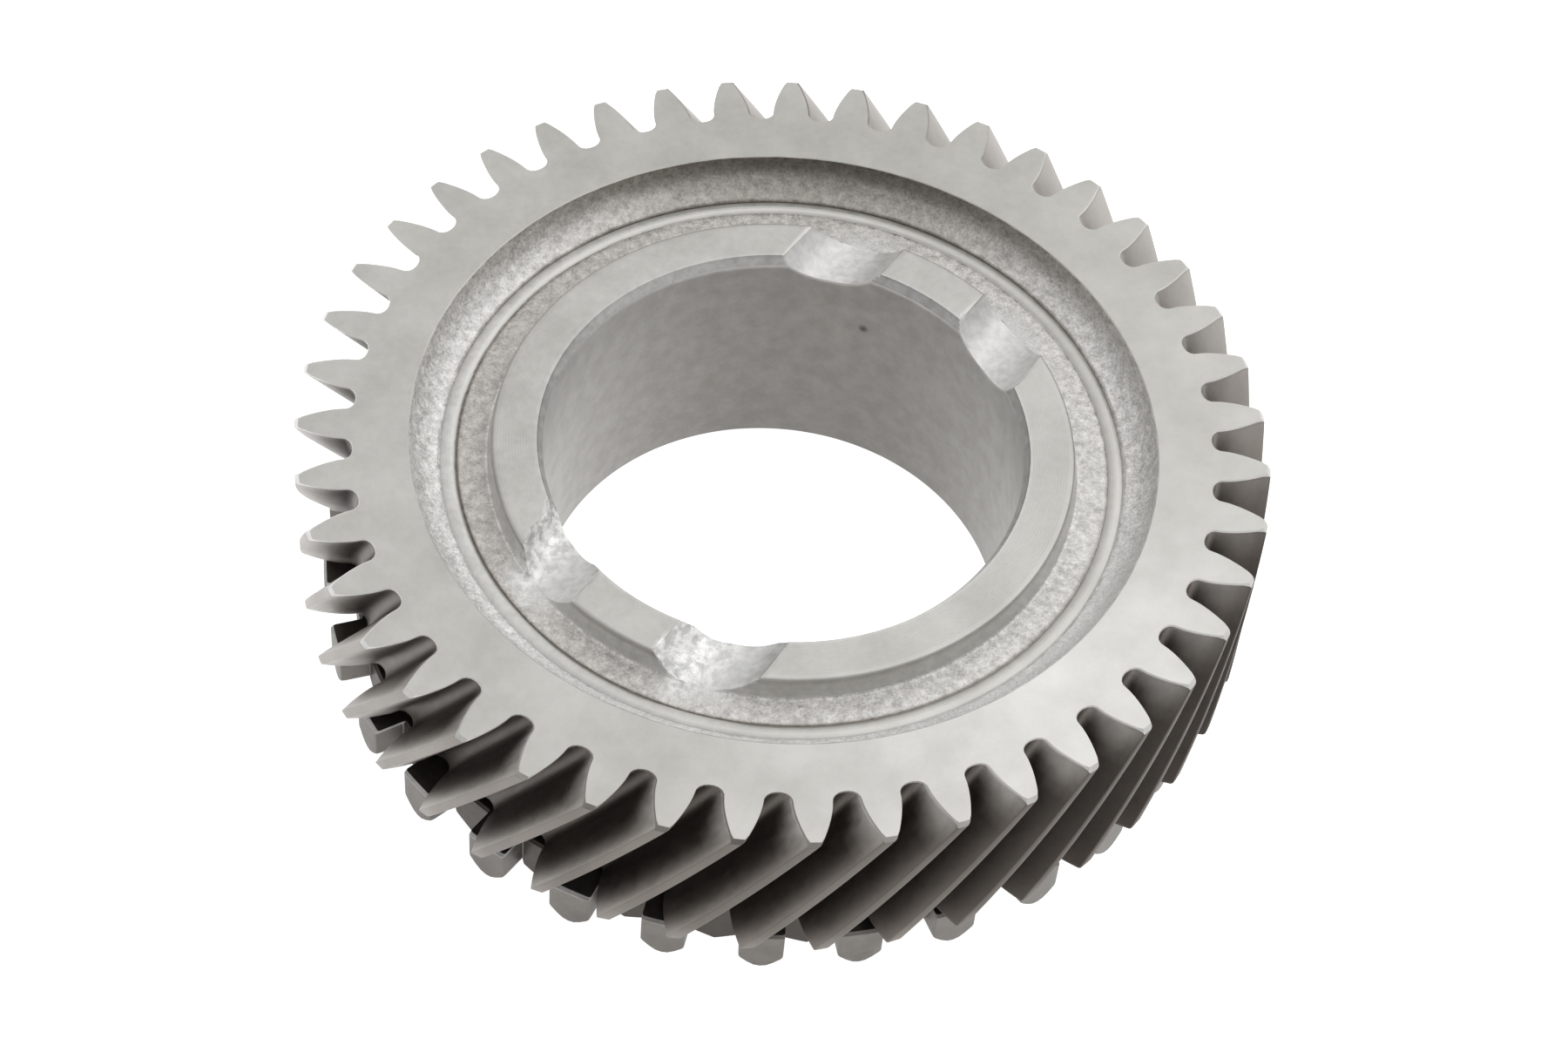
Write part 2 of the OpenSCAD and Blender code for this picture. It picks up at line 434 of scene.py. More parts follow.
    def build(self, skin: Skin) -> tuple[Ring, Ring]:
        """Adds the upper edge, the helical wall and the lower ends of the teeth.

        Args:
            skin: where the rows go.

        Returns:
            The inner row on the upper face and the inner row under the rim.
        """
        face = self.levels.face
        in_angle, in_radius = self.drawn_in(self.edge_break)
        in_radius = np.minimum(in_radius, self.tip_radius - self.tip_break)
        edge_drop = np.maximum(self.edge_break, self.radius - self.tip_radius + self.tip_break)
        deep = self.depth(self.radius)
        inner = polar(np.full_like(in_radius, self.inner_radius), in_angle, face)
        edge = polar(in_radius, in_angle, face)
        upper_first, upper_last = skin.grid(np.stack([inner, edge]), Zone.FACE, painted_face_light(in_angle))

        part = np.linspace(0, 1, self.wall_rows)[:, None] ** self.wall_ease
        top = face - edge_drop
        low = self.end_level(self.radius, self.angle)
        bottom = low + self.end_round
        level = top + part * (bottom - top)
        angle = self.turned(self.angle, level)
        wall = polar(self.radius, angle, level)
        rim_edge = edge + np.array([0.05, 0.95])[:, None, None] * (wall[0] - edge)
        # painted shade and painted highlight: the broken upper edges are painted white on the left and a little on the
        # right through the cut value, and painted dark where they face front or back
        cosine = np.cos(in_angle)
        painted_edge_glint = held(-2 * cosine - 0.8) + 0.35 * held(1.5 * cosine)
        painted_edge_shade = 0.55 * held(1 - (cosine / 0.55) ** 2)
        break_first, break_last = skin.grid(rim_edge, Zone.FLANK, painted_edge_shade, painted_edge_glint)
        skin.join(upper_last, break_first, Zone.FACE)
        # painted light: close under the upper face the flanks of the front teeth are painted lighter through the cut
        # value
        painted_haze = 0.3 * smooth_step(deep / 0.45) * self.under_face(deep, level) * held(-np.sin(angle))
        wall_first, wall_last = skin.grid(wall, Zone.FLANK, self.painted_flank_shade(deep, angle, level), painted_haze)
        skin.join(break_last, wall_first, Zone.FLANK)

        rows = []
        for turn in np.radians([30, 60, 90]):
            end_angle, end_radius = self.rounded(1 - math.cos(turn))
            end_level = low + self.end_round * (1 - math.sin(turn))
            rows.append(polar(end_radius, self.turned(end_angle, end_level), end_level))
        shade = self.painted_flank_shade(deep, angle[-1], level[-1])
        round_first, round_last = skin.grid(np.stack(rows), Zone.FLANK, shade)
        skin.join(wall_last, round_first, Zone.FLANK)

        part = np.linspace(0, 1, self.cap_rows)[1:, None] ** self.cap_ease
        radius = end_radius + part * (self.inner_radius - end_radius)
        level = low + part * (self.levels.rim_low - low)
        cap = polar(radius, self.turned(end_angle, level), level)
        # painted shade: the flat underside of the rim is painted dark
        cap_first, cap_last = skin.grid(cap, Zone.CLUTCH, 0.75)
        skin.join(round_last, cap_first, Zone.CLUTCH)
        return upper_first, cap_last


@dataclass
class OilNotch:
    """One crossing of a straight milling pass with the hub land.

    The pass runs along heading, offset to its right from the bore axis; the left side of a torn notch is narrower
    by the two shares, at the bore and at the foot of the hub.
    """

    heading: float
    offset: float
    depth: float
    width: float
    cut: Cut
    left_shares: tuple[float, float] = (1.0, 1.0)


@dataclass
class HubAndRecess:
    """Bore, notched hub land, recess floor, bead and forged cove, up to the machined upper face."""

    levels: Levels
    recess_radius: float = 46.0
    cove_foot: float = 42.3
    cove_depth: float = 4.45
    bead_low: float = 40.4
    bead_rise: float = 0.34
    floor_depth: float = 4.9
    hub_radius: float = 36.0
    hub_foot: float = 36.6
    hub_drop: float = 1.7
    hub_round: float = 0.4
    bore_radius: float = 29.75
    bore_chamfer: float = 0.7
    chamfer_height: float = 1.2
    bore_break: float = 0.95
    columns: int = 720
    first_angle: float = -99.0
    notch_radius: float = 33.0
    notch_reach: float = 11.0
    notch_clear: float = 20.5
    notch_power: float = 2.6
    notch_limit: float = 1.2
    notch_none: float = 9.0
    notch_blend: float = 0.12
    run_out_from: float = 2.8
    run_out_rise: float = 0.45
    draw_from: float = 37.2
    draw_fade: float = 2.4
    band_low: float = 44.2
    band_reach: float = 1.5
    face_radii: tuple[float, float] = (47.4, 50.3)
    notches: tuple[OilNotch, ...] = (
        OilNotch(58.9, -11.9, 3.1, 11.7, Cut.MILLED),
        OilNotch(58.9, 11.9, 3.5, 11.7, Cut.MILLED),
        OilNotch(238.9, 12.1, 2.6, 11.9, Cut.TORN, (0.85, 0.5)),
        OilNotch(238.9, -12.1, 2.6, 11.7, Cut.TORN),
    )

    def section(self) -> tuple[Array, Array, Array, Array]:
        """The turned section from the bore edge out to the upper face.

        The hub edge is a quarter circle, the bead a low flat band between two crevices, and the cove a quarter
        ellipse, r = R - a (1 - cos t) and z = -b sin(t)^1.15; the rest is straight.

        Returns:
            Radii, depths under the upper face, how strongly the forging skin stands out, and the zone of each
            strip between two rows.
        """
        land = -self.hub_drop
        floor = -self.floor_depth
        rows: list[tuple[float, float, float, Zone]] = []
        edge = self.bore_radius + self.bore_chamfer
        for part in np.linspace(0, 1, 4):
            rows.append((self.bore_radius + part * self.bore_chamfer,
                         land - (1 - part) * self.chamfer_height, 0.0, Zone.LAND))
        for radius in np.linspace(edge, self.hub_radius - self.hub_round, 11)[1:]:
            rows.append((radius, land, 0.0, Zone.LAND))
        for turn in np.radians([22, 45, 68]):
            rows.append((self.hub_radius - self.hub_round * (1 - math.sin(turn)),
                         land - self.hub_round * (1 - math.cos(turn)), 0.0, Zone.LAND))
        wall_top, wall_low = land - self.hub_round, floor + 0.3
        for part in np.linspace(0, 1, 5):
            rows.append((self.hub_radius + part * (self.hub_foot - 0.15 - self.hub_radius),
                         wall_top + part * (wall_low - wall_top), 0.15 * part,
                         Zone.LAND if part < 1 else Zone.FORGED))
        rows.append((self.hub_foot, floor + 0.08, 0.4, Zone.FORGED))
        for radius in np.linspace(self.hub_foot + 0.3, self.bead_low - 0.55, 7):
            rows.append((radius, floor, 0.8, Zone.FORGED))
        low, width = self.bead_low, self.cove_foot - self.bead_low
        for radius, sink in ((low - 0.32, 0.02), (low - 0.16, 0.06), (low - 0.04, 0.08)):
            rows.append((radius, floor - sink, 0.2, Zone.FORGED))
        for part, lift in ((0.03, 0.3), (0.12, 0.62), (0.28, 0.88), (0.5, 1.0), (0.72, 0.95), (0.88, 0.8),
                           (0.97, 0.62)):
            rows.append((low + part * width, floor + lift * self.bead_rise, 0.0, Zone.LAND))
        rows.append((self.cove_foot + 0.04, floor + 0.16, 0.0, Zone.FORGED))
        rows.append((self.cove_foot + 0.12, floor + 0.26, 0.2, Zone.FORGED))
        reach = self.recess_radius - self.cove_foot
        for turn in np.linspace(84, 2, 15):
            t = math.radians(turn)
            rows.append((self.recess_radius - reach * (1 - math.cos(t)),
                         -self.cove_depth * math.sin(t) ** 1.15, 1.0 if turn > 6 else 0.5, Zone.FORGED))
        rows.append((self.recess_radius + 0.03, -0.07, 0.0, Zone.FACE))
        for radius in (self.recess_radius + 0.16, *self.face_radii):
            rows.append((radius, 0.0, 0.0, Zone.FACE))
        radii, depths, skins, zones = zip(*rows)
        return np.array(radii), np.array(depths), np.array(skins), np.array(zones, dtype=int)

    def uniform_angles(self) -> Array:
        """Evenly spread columns, half a degree apart."""
        return np.radians(self.first_angle + np.arange(self.columns) * 360 / self.columns)

    def of_notch(self, title: str) -> Array:
        """One value of all notches, in their order."""
        return np.array([getattr(n, title) for n in self.notches])

    def nearest_notch(self, angle: Array) -> tuple[Array, Array]:
        """The notch nearest to each column and the column's angle from its middle, in degrees."""
        middle = self.of_notch("heading") - np.degrees(np.arcsin(self.of_notch("offset") / self.notch_radius))
        apart = (np.degrees(angle)[:, None] - middle + 180) % 360 - 180
        nearest = np.abs(apart).argmin(axis=1)
        return nearest, apart[np.arange(len(angle)), nearest]

    def drawn_columns(self, radius: Array, angle: Array) -> tuple[Array, Array]:
        """Columns drawn to the straight edges of the notches.

        Inside a notch the columns run along the pass, so a = heading - asin((offset - s) / r) with s the distance
        across; outside it they spread evenly back to their own angles. The drawing fades out over the recess floor.

        Args:
            radius: radius of each row.
            angle: angle of each column.

        Returns:
            Angles and distances across the notch, rows by columns.
        """
        nearest, apart = self.nearest_notch(angle)
        heading, offset = self.of_notch("heading")[nearest], self.of_notch("offset")[nearest]
        half = self.of_notch("width")[nearest] / 2
        middle = heading - np.degrees(np.arcsin(offset / self.notch_radius))
        across = np.clip(apart / self.notch_reach, -1, 1) * half
        along = heading - np.degrees(np.arcsin((offset - across) / radius[:, None]))
        spread = held((np.abs(apart) - self.notch_reach) / (self.notch_clear - self.notch_reach))
        shift = (1 - spread) * (along - middle) + spread * np.sign(apart) * self.notch_clear - apart
        shift = np.where(np.abs(apart) >= self.notch_clear, 0, shift)
        stay = 1 - held((radius[:, None] - self.draw_from) / self.draw_fade)
        drawn = angle + np.radians(shift) * stay * stay * (3 - 2 * stay)
        return drawn, offset - radius[:, None] * np.sin(np.radians(heading) - drawn)

    def notch_floor(self, radius: Array, across: Array, nearest: Array) -> Array:
        """Depth of a notch under the upper face.

        Its section is bottom + depth * |s / half|^2.6, and the bottom runs from its depth at the bore to the level
        of the recess floor at the foot of the hub and runs out before the bead.

        Args:
            radius: radius of each row.
            across: distances across the notch.
            nearest: the notch of each column.

        Returns:
            Depths, rows by columns, far above the land outside the notch.
        """
        width, depth = self.of_notch("width")[nearest], self.of_notch("depth")[nearest]
        shares = self.of_notch("left_shares")[nearest]
        out = held((radius[:, None] - self.bore_radius) / (self.hub_foot - self.bore_radius))
        share = shares[:, 0] + out * (shares[:, 1] - shares[:, 0])
        across = np.where(across < 0, across / share, across)
        bottom = -self.hub_drop - depth + out * (depth + self.hub_drop - self.floor_depth)
        side = np.abs(across) / (width / 2)
        run_out = self.run_out_rise * np.clip(radius[:, None] - self.hub_foot - self.run_out_from, 0, None) ** 2
        section = depth * np.minimum(side, self.notch_limit) ** self.notch_power
        return np.where(side < self.notch_limit, bottom + section + run_out, self.notch_none)

    def painted_recess_shade(self, radius: Array, angle: Array) -> Array:
        """Painted shade at each place: a dark line painted at each foot of the bead, a painted shadow band under the
        rim edge, and painted light and shade that change slowly round.

        The inner line fades towards the back and the right, the outer one and the band towards the front, each with
        a sum of the sine and the cosine of the angle; the floor is painted darker on the left, the cove at the back,
        the land on the right, and outside the recess the face takes its painted light.

        Args:
            radius: radius of each row.
            angle: angles, rows by columns.

        Returns:
            Shades from 0 to 1, rows by columns.
        """
        r = radius[:, None]
        back = held(np.sin(angle))
        # painted shade: dark lines at the inner and the outer foot of the bead, fading round the gear
        inner = held(1 - np.abs(r - self.bead_low + 0.12) / 0.36)
        inner = inner * held(0.55 - 0.45 * np.sin(angle) - 0.3 * np.cos(angle))
        outer = held(1 - np.abs(r - self.cove_foot - 0.06) / 0.24) * held(0.1 + np.sin(angle))
        # painted shadow under the rim edge, and painted shade on the cove at the back, the floor on the left and the
        # land on the right
        band = held((r - self.band_low) / self.band_reach) * (0.06 + 0.72 * back**2.6)
        cove = np.where(r > self.cove_foot, np.maximum(band, 0.44 * back**4 + 0.03 * side_share(angle, 180)), 0)
        floor = np.where((r > self.hub_foot) & (r < self.bead_low), 0.06 + 0.24 * side_share(angle, -20), 0)
        land = np.where(r < self.hub_radius, 0.09 * held(np.cos(angle)), 0)
        recess = np.maximum(np.maximum(inner, outer), cove + floor + land)
        return np.where(r < self.recess_radius + 0.02, recess, painted_face_light(angle))

    def build(self, skin: Skin) -> tuple[Ring, Ring]:
        """Adds the bore and everything out to the upper face.

        Bare steel shows in the notches and their scars, on the chamfer, on the hub wall and in the front of the cove;
        the hub wall is painted lighter towards the left and the bead on its left, painted light, through the same
        value.

        Args:
            skin: where the rows go.

        Returns:
            The lowest row of the bore and the outermost row on the upper face.
        """
        even = self.uniform_angles()
        radius, depth, forging, zones = self.section()
        nearest, _ = self.nearest_notch(even)
        angle, across = self.drawn_columns(radius, even)
        torn = np.array([n.cut.value for n in self.notches])[nearest] * held(0.5 - across / 4.0)
        ripple = GrainField(RIPPLE_SEED)
        flat = polar(radius[:, None], angle, depth[:, None])
        wave = ripple.at(flat, 2.6) * 0.30 + ripple.at(flat, 1.1) * 0.12
        notch = self.notch_floor(radius, across + torn * ripple.at(flat + 40.0, 2.1) * 0.6, nearest) + torn * wave
        level = smooth_least(depth[:, None], notch, self.notch_blend)
        cut = held((depth[:, None] - notch) / self.notch_blend)

        rough = GrainField(FORGING_SEED)
        lumps = rough.at(flat, 1.5) * 0.10 + rough.at(flat, 0.8) * 0.07
        surface = polar(radius[:, None], angle, level + self.levels.face)
        inward = forging[:, None] * lumps * (1 - cut)
        slope_r = np.gradient(radius)
        slope_z = np.gradient(depth)
        length = np.hypot(slope_r, slope_z)
        out_r, out_z = -slope_z / length, slope_r / length
        surface = surface + polar(out_r[:, None] * inward, angle, out_z[:, None] * inward)

        strip = np.broadcast_to(zones[:-1, None], (len(radius) - 1, self.columns))
        shade = self.painted_recess_shade(radius, angle) * (1 - cut)
        scar = held(1 - (radius[:, None] - self.hub_foot - 0.6) / 2.6) * held(1.6 - np.abs(across) / 3.2)
        bare_and_painted_light = np.where(radius[:, None] > self.hub_foot - 0.1, 0.85 * scar, 0)
        # the hub wall shows cut steel all round and is painted lighter towards the left, painted light
        wall = (radius > self.hub_radius) & (radius < self.hub_foot - 0.1)
        bare_and_painted_light[wall] = 0.45 + 0.55 * held(-np.cos(angle[wall]))
        bare_and_painted_light[:4] = np.array([0.9, 0.9, 0.9, 0.4])[:, None]
        # painted light: the bead is painted lighter on its left
        bead = (radius > self.bead_low + 0.3) & (radius < self.cove_foot)
        bare_and_painted_light[bead] = 0.6 * held(-np.cos(angle[bead]))
        cove = (radius > self.cove_foot + 0.2) & (radius < self.recess_radius)
        bare_and_painted_light[cove] = 0.75 * smooth_step((0.35 * np.cos(angle[cove]) - np.sin(angle[cove]) - 0.35) / 0.4)
        bare_and_painted_light = np.maximum(cut, bare_and_painted_light)
        tear = np.maximum(cut, scar * (radius[:, None] > self.hub_radius)) * torn
        first, last = skin.grid(surface, strip, shade, bare_and_painted_light, tear)

        base = self.bore_break
        part = np.array([0, 0.3, 0.55, 0.72, 0.84, 0.93, 0.98])[:, None]
        top = surface[0, :, 2]
        bore_angle = even + (angle[0] - even) * part**3
        wall = polar(self.bore_radius, bore_angle, base + part * (top - base))
        # painted shade: the bore wall is painted darker at the back and a little on the right
        shade = held(np.sin(bore_angle)) ** 1.5 + 0.3 * held(np.cos(bore_angle))
        bore_first, bore_last = skin.grid(wall, Zone.BORE, shade)
        skin.join(bore_last, first, Zone.BORE)
        return bore_first, last


@dataclass
class ClutchRing:
    """Thirty pointed clutch teeth on a ring under a narrow relief."""

    levels: Levels
    count: int = 30
    turn: float = -86.97
    tip_radius: float = 57.3
    root_radius: float = 53.5
    relief_radius: float = 51.6
    width: float = 5.4
    straight: float = 4.7
    nose: float = 1.6
    edge_break: float = 0.35
    ring_low: float = 5.25
    ring_rise: float = 1.3
    under_radius: float = 49.0

    def outline(self) -> tuple[Array, Array, Array]:
        """The ring seen from above, from the middle of one space round to the next.

        A tooth has parallel sides, s = half the width, and a round outer face, r = tip radius, with its
        corners rounded; the space between two teeth follows the root circle.

        Returns:
            Angles, radii and distances from the middle of the tooth as a share of half its width.
        """
        half = self.width / 2
        step = TURN / self.count
        foot = math.asin(half / self.root_radius)
        space = step / 2 - (step / 2 - foot) * np.array([0, 0.3, 0.6, 0.85, 0.96])
        side_radius = np.array([self.root_radius + 0.15, self.root_radius + 1.9, self.tip_radius - 0.3])
        side = np.arcsin(half / side_radius)
        corner = np.array([half - 0.06, half - 0.3, half * 0.58, half * 0.28])
        corner_radius = np.array([self.tip_radius - 0.08, self.tip_radius, self.tip_radius, self.tip_radius])
        angle = np.concatenate([space, side, np.arcsin(corner / corner_radius)])
        radius = np.concatenate([np.full(5, self.root_radius), side_radius, corner_radius])
        one_angle = np.concatenate([-angle, [0], angle[:0:-1]])
        one_radius = np.concatenate([radius, [self.tip_radius], radius[:0:-1]])
        starts = math.radians(self.turn) + np.arange(self.count)[:, None] * step
        share = np.tile(np.abs(one_radius * np.sin(one_angle)) / half, self.count)
        return (starts + one_angle).ravel(), np.tile(one_radius, self.count), share

    def lower_edge(self, radius: Array, share: Array) -> Array:
        """Height of the lower end: a blunt point on each tooth, rising to the sides, and a shallow V between teeth.

        Args:
            radius: radius of each column.
            share: distance from the middle of the tooth as a share of half its width.

        Returns:
            Heights of the lower edge.
        """
        low = self.levels.clutch_point
        point = self.levels.clutch_high - self.straight - low
        nose = self.nose / self.width
        slope = held((share - nose) / (1 - nose))
        tooth = low + point * (slope + 0.10 * held(1 - np.abs(share - nose) / 0.3) ** 2)
        widest = share.max()
        between = self.ring_low + self.ring_rise * held((widest - share) / (widest - 1))
        return np.where(radius > self.root_radius + 0.05, tooth, between)

    def build(self, skin: Skin) -> tuple[Ring, Ring]:
        """Adds the relief wall, the upper side, the teeth and their pointed ends.

        Args:
            skin: where the rows go.

        Returns:
            The highest row of the relief and the row at the foot of the cone.
        """
        angle, radius, share = self.outline()
        high = self.levels.clutch_high
        tooth = radius > self.root_radius + 0.05
        drawn = radius - self.edge_break
        drawn = np.where(tooth, np.maximum(drawn, self.root_radius), drawn)
        relief_top = polar(self.relief_radius, angle, self.levels.rim_low - 0.12)
        relief_foot = polar(self.relief_radius, angle, high)
        upper = polar(drawn - 0.06, angle, high)
        # painted highlight: the broken upper edges of the teeth on the left are painted bright through the cut value
        painted_highlight = np.where(tooth, np.clip(-1.3 * np.cos(angle), 0, 0.6), 0)
        # painted shade: the relief under the rim and the upper side of the ring are painted dark, the teeth's upper
        # side less
        dark = np.ones_like(angle)
        shade = np.stack([dark * 0.9, dark * 0.55, np.where(tooth, 0.45, 0.5), np.where(tooth, 0.0, 0.5)])
        cut = np.stack([0 * painted_highlight, 0 * painted_highlight, 0 * painted_highlight, painted_highlight])
        rows = np.stack([relief_top, relief_foot, upper, polar(drawn, angle, high)])
        first, edge = skin.grid(rows, Zone.CLUTCH, shade, cut)

        low = self.lower_edge(radius, share)
        part = np.array([0, 0.04, 0.4, 0.7, 0.9, 1.0])[:, None]
        top = high - self.edge_break
        level = top + part * (low - top)
        # painted shade: the spaces between the teeth are painted dark, the teeth lightly on the left and at the front
        shade = np.where(tooth, 0.14 * held(0.6 - 1.5 * np.cos(angle)), 0.75)
        cut = painted_highlight * np.array([1, 0, 0, 0, 0, 0])[:, None]
        wall_first, wall_last = skin.grid(polar(radius, angle, level), Zone.CLUTCH, shade, cut)
        skin.join(edge, wall_first, Zone.CLUTCH)

        under = [(np.where(tooth, radius - 0.35, radius - 0.2), low - 0.12),
                 (np.full_like(radius, self.root_radius - 0.35), low - 0.05),
                 (np.full_like(radius, self.root_radius - 1.6), np.full_like(radius, self.levels.clutch_low)),
                 (np.full_like(radius, self.under_radius), np.full_like(radius, self.levels.clutch_low))]
        rows = np.stack([polar(r, angle, z) for r, z in under])
        # painted shade: the underside of the teeth and the ring is painted darker
        under_first, under_last = skin.grid(rows, Zone.CLUTCH, 0.35)
        skin.join(wall_last, under_first, Zone.CLUTCH)
        return first, under_last


@dataclass
class ConeEnd:
    """The short synchroniser cone and the lower end face."""

    levels: Levels
    foot_radius: float = 44.6
    half_angle: float = 6.5
    fillet: float = 0.5
    end_middle: float = 37.5
    bore_edge: float = 30.5

    def build(self, skin: Skin, clutch_angle: Array, even_angle: Array) -> tuple[Ring, Ring]:
        """Adds the cone, its fillet and the flat end: straight lines of the section turned about the axis.

        The columns drift from the spacing of the clutch teeth to the even spacing of the bore.

        Args:
            skin: where the rows go.
            clutch_angle: columns of the clutch ring.
            even_angle: columns of the bore.

        Returns:
            The outermost row and the row at the bore.
        """
        low = self.levels.clutch_low
        top_radius = self.foot_radius + low * math.tan(math.radians(self.half_angle))
        section = np.array([
            (top_radius + self.fillet, low), (top_radius + 0.15, low - 0.15), (top_radius, low - self.fillet),
            (top_radius - 0.2, low * 0.62), (self.foot_radius + 0.2, low * 0.3), (self.foot_radius + 0.05, 0.45),
            (self.foot_radius - 0.13, 0.13), (self.foot_radius - 0.45, 0.0), (self.end_middle, 0.0),
            (self.bore_edge, 0.0)])
        offset = (even_angle - clutch_angle + math.pi) % TURN - math.pi
        angle = clutch_angle + np.linspace(0, 1, len(section))[:, None] * offset
        return skin.grid(polar(section[:, :1], angle, section[:, 1:]), Zone.CONE)


class Wiring:
    """The node tree of a material or of the world, with short ways to add and join nodes."""

    def __init__(self, owner: bpy.types.Material | bpy.types.World) -> None:
        """Starts an empty tree in its owner."""
        owner.use_nodes = True
        self.tree = owner.node_tree
        self.tree.nodes.clear()

    def add(self, kind: str, sockets: dict | None = None, **settings: object) -> bpy.types.Node:
        """Adds one node.

        Args:
            kind: Blender's name of the node type.
            sockets: values or outputs for its inputs, by name or number.
            settings: the node's own properties.

        Returns:
            The node.
        """
        node = self.tree.nodes.new(kind)
        for title, value in settings.items():
            setattr(node, title, value)
        for title, value in (sockets or {}).items():
            if isinstance(value, Socket):
                self.tree.links.new(value, node.inputs[title])
            else:
                node.inputs[title].default_value = value
        return node

    def noise(self, vector: Socket, scale: float, detail: float) -> Socket:
        """Fractal noise of a scale in waves per metre."""
        sockets = {"Vector": vector, "Scale": scale, "Detail": detail, "Roughness": 0.6}
        return self.add("ShaderNodeTexNoise", sockets).outputs[0]

    def sum(self, kind: str, a: object, b: object) -> Socket:
        """One arithmetic step on two values."""
        return self.add("ShaderNodeMath", {0: a, 1: b}, operation=kind).outputs[0]

    def spread(self, value: Socket, low: float, high: float, to_low: float = 0.0,
               to_high: float = 1.0) -> Socket:
        """A value carried from one range to another and kept inside it."""
        return self.add("ShaderNodeMapRange", {0: value, 1: low, 2: high, 3: to_low, 4: to_high}).outputs[0]

    def blend(self, share: Socket, a: object, b: object, mode: str = "MIX") -> Socket:
        """Two colours mixed or multiplied by a share."""
        ends = [c if isinstance(c, Socket) else (*c, 1.0) for c in (a, b)]
        sockets = {0: share, 6: ends[0], 7: ends[1]}
        return self.add("ShaderNodeMix", sockets, data_type="RGBA", blend_type=mode).outputs[2]


@dataclass(frozen=True)
class SteelFinish:
    """One finish of the steel: two greys in patches and grain, a factor and a tint for the painted shade, colours for
    cut steel and painted highlights, and fine relief.
    """

    name: str
    dark: Colour
    light: Colour
    shaded: Colour
    tint: Colour = (1.0, 1.0, 1.0)
    patch: float = 60.0
    grain: float = 900.0
    patch_share: float = 0.6
    contrast: tuple[float, float] = (0.36, 0.64)
    roughness: tuple[float, float] = (0.40, 0.52)
    relief: float = 0.00002
    relief_scale: float = 1200.0
    stretch: Colour = (1.0, 1.0, 1.0)
    metal: float = 0.9
    ring_pitch: float = 0.0
    ring_relief: float = 0.0
    milled_and_highlight: tuple[Colour, Colour] | None = None
    torn: tuple[Colour, Colour] = ((0.60, 0.595, 0.58), (0.93, 0.925, 0.91))
    tear_relief: float = 0.00022
    tear_scale: float = 900.0
    speck: Colour | None = None
    speck_size: float = 0.0008
    speck_colour: Colour = (0.05, 0.045, 0.04)

    def material(self) -> bpy.types.Material:
        """Wires the finish from Object coordinates and the vertex values shade (painted shade), cut (milling and
        painted light) and tear.
        """
        made = bpy.data.materials.new(self.name)
        w = Wiring(made)
        place = w.add("ShaderNodeTexCoord").outputs["Object"]
        drawn = w.add("ShaderNodeMapping", {"Vector": place, "Scale": self.stretch}).outputs[0]
        patch = w.noise(drawn, self.patch, 3.0)
        grain = w.noise(drawn, self.grain, 4.0)
        mottle = w.sum("ADD", w.sum("MULTIPLY", patch, self.patch_share),
                       w.sum("MULTIPLY", grain, 1 - self.patch_share))
        colour = w.blend(w.spread(mottle, *self.contrast), self.dark, self.light)
        # painted shade: the shade value darkens the colour by the shaded factor and warms it by the tint
        shade = w.add("ShaderNodeAttribute", attribute_name="shade").outputs["Fac"]
        colour = w.blend(shade, w.blend(shade, colour, self.shaded, "MULTIPLY"), self.tint, "MULTIPLY")
        metal = self.metal
        if self.milled_and_highlight is not None:
            cut = w.add("ShaderNodeAttribute", attribute_name="cut").outputs["Fac"]
            tear = w.add("ShaderNodeAttribute", attribute_name="tear").outputs["Fac"]
            crinkle = w.noise(place, self.tear_scale, 3.0)
            # cut steel and painted highlights share these colours, mixed in by the cut value
            colour = w.blend(cut, colour, w.blend(w.spread(grain, 0.35, 0.65), *self.milled_and_highlight))
            colour = w.blend(tear, colour, w.blend(w.spread(crinkle, 0.4, 0.6), *self.torn))
            metal = w.spread(cut, 0.0, 1.0, self.metal, self.metal * 0.5)
        if self.speck is not None:
            away = w.add("ShaderNodeVectorMath", {0: place, 1: self.speck}, operation="DISTANCE").outputs["Value"]
            spot = w.spread(away, self.speck_size * 0.3, self.speck_size, 0.8, 0.0)
            colour = w.blend(spot, colour, self.speck_colour)
        height = w.noise(place, self.relief_scale, 3.0)
        normal = w.add("ShaderNodeBump", {"Strength": 1.0, "Distance": self.relief, "Height": height}).outputs[0]
        if self.ring_pitch:
            rings = w.add("ShaderNodeTexWave", {"Vector": place, "Scale": math.pi / 10 / self.ring_pitch,
                                                "Distortion": 0.6, "Detail": 2.0},
                          wave_type="RINGS", rings_direction="Z").outputs["Fac"]
            normal = w.add("ShaderNodeBump", {"Strength": 1.0, "Distance": self.ring_relief, "Height": rings,
                                              "Normal": normal}).outputs[0]
        if self.milled_and_highlight is not None:
            ridges = w.sum("MULTIPLY", tear, crinkle)
            normal = w.add("ShaderNodeBump", {"Strength": 1.0, "Distance": self.tear_relief, "Height": ridges,
                                              "Normal": normal}).outputs[0]
        steel = w.add("ShaderNodeBsdfPrincipled", {
            "Base Color": colour, "Metallic": metal, "Normal": normal,
            "Roughness": w.spread(grain, 0.3, 0.7, *self.roughness)})
        w.add("ShaderNodeOutputMaterial", {"Surface": steel.outputs[0]})
        return made


# MILLED is cut steel; it also serves as painted light on the hub wall and the bead and as painted highlight on the
# clutch teeth
MILLED = ((0.57, 0.565, 0.55), (0.72, 0.715, 0.70))
